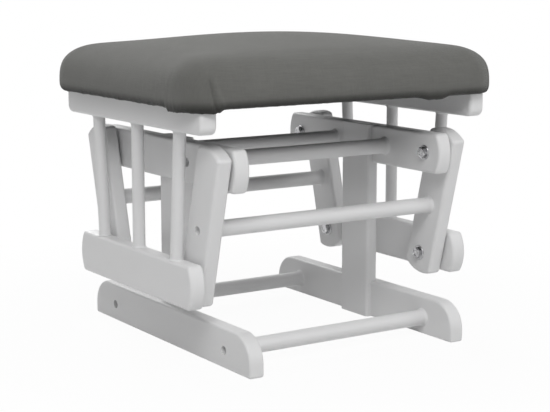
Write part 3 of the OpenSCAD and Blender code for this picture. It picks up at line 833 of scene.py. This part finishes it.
def buildCushionShell(smaller):
    nx, ny = seat["cellsX"], seat["cellsY"]
    verts, flat, faces = [], [], []
    shoulderInset, shoulderHeight = seat["side"][-1]
    rim = ringPoints(shoulderInset + smaller, seat["draw"])
    count = len(rim)
    # the rim's places in the grid of the top
    around = [(i, 0) for i in range(nx)] + [(nx, j) for j in range(ny)]
    around += [(i, ny) for i in range(nx, 0, -1)] + [(0, j) for j in range(ny, 0, -1)]
    grid = {cell: k for k, cell in enumerate(around)}
    edge = {cell: rim[k][0] for cell, k in grid.items()}
    top = seat["bottom"] + shoulderHeight - seat["topLess"] * smaller
    a, b = seat["width"] / 2 - shoulderInset - smaller, seat["depth"] / 2 - shoulderInset - smaller
    for place, _ in rim:
        verts.append((place.x, place.y, top + cornerRise(place, shoulderHeight)))
        flat.append(place.copy())
    for j in range(1, ny):
        for i in range(1, nx):
            u, v = i / nx, j / ny
            place = ((1 - v) * edge[(i, 0)] + v * edge[(i, ny)] + (1 - u) * edge[(0, j)] + u * edge[(nx, j)]
                     - (1 - u) * (1 - v) * edge[(0, 0)] - u * (1 - v) * edge[(nx, 0)]
                     - (1 - u) * v * edge[(0, ny)] - u * v * edge[(nx, ny)])
            full = (1 - abs(place.x / a) ** seat["roundX"]) * (1 - abs(place.y / b) ** seat["roundY"])
            height = top + seat["crown"] * max(0.0, full) + cornerRise(place, shoulderHeight)
            grid[(i, j)] = len(verts)
            verts.append((place.x, place.y, height))
            flat.append(place)
    for j in range(ny):
        for i in range(nx):
            faces.append((grid[(i, j)], grid[(i + 1, j)], grid[(i + 1, j + 1)], grid[(i, j + 1)]))
    sway, hemShade = [0.0] * len(verts), [0.0] * len(verts)
    above = list(range(count))
    drop, last = 0.0, (shoulderInset, shoulderHeight)
    for inset, height in reversed(seat["side"][:-1]):
        drop += math.hypot(inset - last[0], height - last[1])
        last = (inset, height)
        under = inset > seat["underInset"] and height < seat["underHeight"]
        start = len(verts)
        # dark is painted shade on the hem: full where the cloth turns under the board, fading fast up the
        # side
        if under:
            ring = ringPoints(inset, seat["draw"] * seat["underDraw"])
            fade, dark = max(0.0, 1 - (inset - seat["swayInset"]) / seat["swayRun"]), 1.0
        else:
            ring = ringPoints(inset + smaller, seat["draw"])
            fade = max(0.0, 1 - height / seat["swayHeight"]) ** seat["swayPower"]
            dark = math.exp(-(height / seat["hemShadeHeight"]) ** 4)
        for k, (place, _) in enumerate(ring):
            verts.append((place.x, place.y, seat["bottom"] + height + cornerRise(place, height)))
            flat.append(rim[k][0] + rim[k][1] * drop)
            sway.append(fade)
            hemShade.append(dark)
        below = list(range(start, start + count))
        for k in range(count):
            n = (k + 1) % count
            faces.append((above[k], below[k], below[n], above[n]))
        above = below
    faces.append(tuple(reversed(above)))
    mesh = bpy.data.meshes.new("cushion")
    mesh.from_pydata(verts, [], faces)
    # the hem attribute carries the painted shade along the hem's edge
    for title, values in (("sway", sway), ("hem", hemShade)):
        mesh.attributes.new(title, "FLOAT", "POINT").data.foreach_set("value", values)
    layer = mesh.uv_layers.new(name="cloth")
    for loop in mesh.loops:
        layer.data[loop.index].uv = flat[loop.vertex_index]
    return newObject("cushion", mesh)


def read(data, name, width=1, kind=np.float32):
    values = np.zeros(len(data) * width, kind)
    data.foreach_get(name, values)
    return values.reshape(-1, width) if width > 1 else values


def coordinates(piece):
    return read(piece.data.vertices, "co", 3).astype(float)


def setCoordinates(piece, co):
    piece.data.vertices.foreach_set("co", co.astype(np.float32).ravel())
    piece.data.update()


# Each point's value comes nearer to its neighbours' mean, as far as its share says.
def evenOut(piece, values, rounds, share=1.0):
    ends = read(piece.data.edges, "vertices", 2, np.int32)
    first, second = ends.T
    beside = np.bincount(ends.ravel(), minlength=len(values))[:, None]
    for _ in range(rounds):
        total = np.zeros_like(values)
        np.add.at(total, first, values[second])
        np.add.at(total, second, values[first])
        values = values + 0.5 * share * (total / beside - values)
    return values


# The cover is blown out against the hem, which stays stapled to the board.
def stuff(piece):
    start = coordinates(piece)
    held = piece.vertex_groups.new(name="hem")
    for k, point in enumerate(start):
        height = point[2] - seat["bottom"]
        hold = max(0.0, min(1.0, (stuffing["holdBelow"] - height) / stuffing["holdRun"]))
        if hold > 0:
            held.add([k], hold, "REPLACE")
    cloth = piece.modifiers.new("Cloth", "CLOTH")
    settings = cloth.settings
    settings.quality = stuffing["quality"]
    settings.mass = stuffing["mass"]
    settings.tension_stiffness = settings.compression_stiffness = stuffing["tension"]
    settings.shear_stiffness = stuffing["shear"]
    settings.bending_stiffness = stuffing["bending"]
    settings.vertex_group_mass = "hem"
    settings.use_pressure = True
    settings.uniform_pressure_force = stuffing["pressure"]
    settings.effector_weights.gravity = 0
    cloth.collision_settings.use_collision = False
    scene = bpy.context.scene
    for number in range(1, stuffing["frames"] + 1):
        scene.frame_set(number)
    alone(piece)
    bpy.ops.object.modifier_apply(modifier=cloth.name)
    moved = coordinates(piece) - start
    far = np.linalg.norm(moved, axis=1, keepdims=True)
    cap = stuffing["cap"]
    moved *= cap * np.tanh(far / cap) / np.maximum(far, 1e-9)
    moved = evenOut(piece, moved, stuffing["evened"])  # takes out the small buckles and keeps the swell
    setCoordinates(piece, start + moved)
    scene.frame_set(1)
    print("cushion blown out, at most %.1f mm" % (1000 * far.max()))


# Creases lie on the flat cloth in metres: three for a fold at the front left corner, one on the left side,
# then five slack lines. Each has its two ends, its depth (a ridge is below zero) and its half width.
creases = [
    ((-0.1815, -0.1960), (-0.1655, -0.2300), 0.0034, 0.0028),
    ((-0.1760, -0.1925), (-0.1610, -0.2250), -0.0022, 0.0034),
    ((-0.1870, -0.1960), (-0.1720, -0.2280), -0.0010, 0.0034),
    ((-0.2290, -0.1140), (-0.2560, -0.1085), -0.0003, 0.0030),
    ((-0.1500, -0.1990), (-0.1120, -0.2005), 0.0006, 0.0028),
    ((-0.0700, -0.1835), (-0.0250, -0.1850), 0.0005, 0.0030),
    ((0.0350, -0.1850), (0.0800, -0.1830), 0.0006, 0.0030),
    ((0.0600, -0.2030), (0.1050, -0.2010), 0.0005, 0.0030),
    ((0.1250, -0.1840), (0.1580, -0.1870), 0.0005, 0.0028),
]
# A crease is shallower towards its ends: the least share of its depth, and where on a half wave it starts
creaseEnd = {"least": 0.35, "start": 0.15}
hem = {
    "ragged": 0.0011, "raggedSize": 0.0060, "finer": 2.3, "finerShare": 0.5,
    # to the right of this place it is neater
    "neatFrom": -0.18, "neat": 0.35,
    # it hangs lower round the front left corner, with small gathers and a thread's end there
    "lower": 0.0034, "cornerFrom": -0.060, "cornerTo": 0.040, "cornerEase": 0.006,
    "gather": 0.0004, "gatherSize": 0.0080, "thread": 0.0024, "threadBack": 0.004, "threadWidth": 0.0022,
    # a sag at the front
    "sag": 0.0036, "sagAt": 0.121, "sagWidth": 0.020, "sagBefore": -0.15,
}


def sewCushion(piece):
    mesh = piece.data
    co, normal = coordinates(piece), read(mesh.vertices, "normal", 3)
    place = np.zeros((len(co), 2))
    place[read(mesh.loops, "vertex_index", 1, np.int32)] = read(mesh.uv_layers["cloth"].data, "uv", 2)
    sway = read(mesh.attributes["sway"].data, "value")

    deep = np.zeros(len(co))
    for start, end, depth, width in creases:
        start, run = np.array(start), np.array(end) - np.array(start)
        share = np.clip((place - start) @ run / (run @ run), 0, 1)
        away = np.linalg.norm(place - start - share[:, None] * run, axis=1)
        wave = np.sin(math.pi * (creaseEnd["start"] + (1 - 2 * creaseEnd["start"]) * share))
        deep += depth * np.exp(-(away / width) ** 2) * (creaseEnd["least"] + (1 - creaseEnd["least"]) * wave)
    co -= normal * deep[:, None]

    size, finer, ease = hem["raggedSize"], hem["finer"], hem["cornerEase"]
    for k in np.nonzero(sway > 0)[0]:
        x, y, _ = co[k]
        rough = noise.noise((x / size, y / size, 0.5))
        rough += hem["finerShare"] * noise.noise((finer * x / size, finer * y / size, 7.5))
        fall = hem["ragged"] * rough * (1.0 if x < hem["neatFrom"] else hem["neat"])
        if x < 0 and y < 0:
            # along the edge from the front left corner: below zero on the left side, above it on the front
            along = (x + seat["width"] / 2) - (y + seat["depth"] / 2)
            into, left = (along - hem["cornerFrom"]) / ease, (hem["cornerTo"] - along) / ease
            lower = min(1.0, max(0.0, into)) * min(1.0, max(0.0, left))
            fall += hem["lower"] * lower
            wave = math.sin(2 * math.pi * along / hem["gatherSize"])
            co[k, :2] += normal[k, :2] * hem["gather"] * lower * sway[k] * wave
            fromThread = (along - hem["cornerTo"] + hem["threadBack"]) / hem["threadWidth"]
            fall += hem["thread"] * math.exp(-fromThread ** 2)
        if y < hem["sagBefore"]:
            fall += hem["sag"] * math.exp(-((x - hem["sagAt"]) / hem["sagWidth"]) ** 4)
        co[k, 2] -= fall * sway[k]
    setCoordinates(piece, co)
    mesh.attributes.remove(mesh.attributes["sway"])


def buildCushion(material):
    piece = buildCushionShell(stuffing["smaller"])
    stuff(piece)
    co = coordinates(piece)
    above = np.clip((co[:, 2:] - seat["bottom"] - seat["easedFrom"]) / seat["easedRun"], 0, 1)
    setCoordinates(piece, evenOut(piece, co, seat["eased"], above))  # eases the top into the shoulder
    edit(piece)  # the underside's large face is left out of the subdivision
    pick(piece, "faces", lambda face: len(face.verts) > 4)
    bpy.ops.mesh.delete(type="ONLY_FACE")
    leave()
    applyModifier(piece, "SUBSURF", levels=1, render_levels=1)
    edit(piece)
    pick(piece, "edges", lambda edge: edge.is_boundary)
    bpy.ops.mesh.edge_face_add()
    outwards()
    leave()
    sewCushion(piece)
    finishPiece(piece, "seatCushion", "seat_frame", "seat_cloth", material,
                ["seat_cover", "seat_foam"], soft=True)
    print("cushion built:", len(piece.data.polygons), "faces")


dust = {"sag": 0.003, "thick": 0.0008, "cell": 0.012, "corner": 0.0257, "lift": 0.0012, "ripple": 0.0006,
        "ripples": 22}


def buildDustCover(material):
    low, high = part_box("dust_cover")
    size = high - low
    cellsX, cellsY = round(size.x / dust["cell"]), round(size.y / dust["cell"])
    bpy.ops.mesh.primitive_grid_add(x_subdivisions=cellsX, y_subdivisions=cellsY, size=1, location=(0, 0, 0))
    piece = bpy.context.object
    co = coordinates(piece)
    radius, a, b = dust["corner"], size.x / 2, size.y / 2
    for point in co:
        u, v = 2 * point[0], 2 * point[1]
        x, y = u * a, v * b
        overX, overY = abs(x) - (a - radius), abs(y) - (b - radius)
        if overX > 0 and overY > 0:  # rounds the corners
            share = max(overX, overY) / math.hypot(overX, overY)
            x = math.copysign(a - radius + overX * share, x)
            y = math.copysign(b - radius + overY * share, y)
        full = (1 - u * u) * (1 - v * v)
        ripple = noise.noise((x * dust["ripples"], y * dust["ripples"], 3.0))
        point[:] = x, y, low.z + dust["lift"] - dust["sag"] * full - dust["ripple"] * full * ripple
    setCoordinates(piece, co)
    applyModifier(piece, "SOLIDIFY", thickness=dust["thick"], offset=0)
    edit(piece)
    outwards()
    leave()
    finishPiece(piece, "dustCover", "seat_frame", "dust_cloth", material, ["dust_cover"], soft=True)
    print("dust cover built")


# The floor is washed out to white with the distance from the middle, and the sky is brighter overhead.
studio = {"floor": 0.74, "floorSize": 12, "floorHeight": -0.0002, "washed": (0.955, 1.0),
          "washedFrom": (0.28, 0.70), "sky": (0.0, 0.569), "skyFrom": -0.2}
white = (1, 1, 1, 1)


# The rays for which the studio is white: the camera's, and those off or through something shiny
def seenRays(owner):
    path = addNode(owner, "LightPath")
    shiny = addMath(owner, "MAXIMUM", path.outputs["Is Glossy Ray"], path.outputs["Is Transmission Ray"])
    return addMath(owner, "MAXIMUM", path.outputs["Is Camera Ray"], shiny)


def mixShaders(owner, share, first, second, output):
    mix = addNode(owner, "MixShader")
    out = addNode(owner, output)
    wire(owner, share, mix.inputs[0])
    wire(owner, first.outputs[0], mix.inputs[1])
    wire(owner, second.outputs[0], mix.inputs[2])
    wire(owner, mix.outputs[0], out.inputs["Surface"])


def buildFloor():
    bpy.ops.mesh.primitive_plane_add(size=studio["floorSize"], location=(0, 0, studio["floorHeight"]))
    floor = justAdded()
    floor.name = "floor"
    material = bpy.data.materials.new("paleFloor")
    material.use_nodes = True
    material.node_tree.nodes.clear()
    place = addNode(material, "TexCoord")
    away = addNode(material, "VectorMath", operation="LENGTH")
    wire(material, place.outputs["Object"], away.inputs[0])
    paler = spread(material, away.outputs["Value"], *studio["washed"], *studio["washedFrom"])
    wash = addMath(material, "MULTIPLY", seenRays(material), paler)
    matt = addNode(material, "BsdfDiffuse", {"Color": (studio["floor"],) * 3 + (1,)})
    glow = addNode(material, "Emission", {"Color": white, "Strength": 1.0})
    mixShaders(material, wash, matt, glow, "OutputMaterial")
    floor.data.materials.append(material)


def buildSky():
    world = bpy.data.worlds.new("studio")
    bpy.context.scene.world = world
    world.use_nodes = True
    world.node_tree.nodes.clear()
    place = addNode(world, "TexCoord")
    part = addNode(world, "SeparateXYZ")
    wire(world, place.outputs["Generated"], part.inputs[0])
    sky = addNode(world, "Background", {"Color": white})
    rise = spread(world, part.outputs["Z"], *studio["sky"], studio["skyFrom"])
    wire(world, rise, sky.inputs["Strength"])
    backdrop = addNode(world, "Background", {"Color": white, "Strength": 1.0})
    mixShaders(world, seenRays(world), sky, backdrop, "OutputWorld")


lampSize, lampAim = (1.4, 1.4), Vector((0, 0, 0.2))
lamps = {
    "key": {"place": (-1.5, -1.9, 2.4), "power": 32.8},
    "front": {"place": (-0.6, -2.2, 2.6), "power": 12.2},
    "right": {"place": (1.7, -2.3, 1.2), "power": 10.2},
    "back": {"place": (0.4, 2.6, 1.9), "power": 31.6},
}


def buildLamps():
    for name, lamp in lamps.items():
        data = bpy.data.lights.new(name, "AREA")
        data.shape = "RECTANGLE"
        data.size, data.size_y = lampSize
        data.energy = lamp["power"]
        stand = newObject(name, data)
        stand.location = lamp["place"]
        stand.rotation_euler = (lampAim - Vector(lamp["place"])).to_track_quat("-Z", "Y").to_euler()


bpy.context.scene.view_settings.view_transform = "Standard"
setCamera()
frontAxis, rearAxis = (top - foot for top, foot
                       in zip(frontAndRear("%s_hanger_bolts"), frontAndRear("rail_bolts_%s")))
paints = {"x": makePaint("paintAcross", (1, 0, 0)), "y": makePaint("paintAlong", (0, 1, 0)),
          "z": makePaint("paintUpright", (0, 0, 1)), "front": makePaint("paintFrontLink", frontAxis),
          "rear": makePaint("paintRearLink", rearAxis)}
metal = {name: makeMetal(name, look) for name, look in metals.items()}
print("materials made")
buildBase(paints)
buildLinks(paints)
buildRails(paints)
buildDowels(paints)
buildHardware(metal)
buildCushion(makeCloth())
buildDustCover(makeDustCloth())
coat(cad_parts["seat_board"], makePlywood())
buildFloor()
buildSky()
buildLamps()
print("studio built")
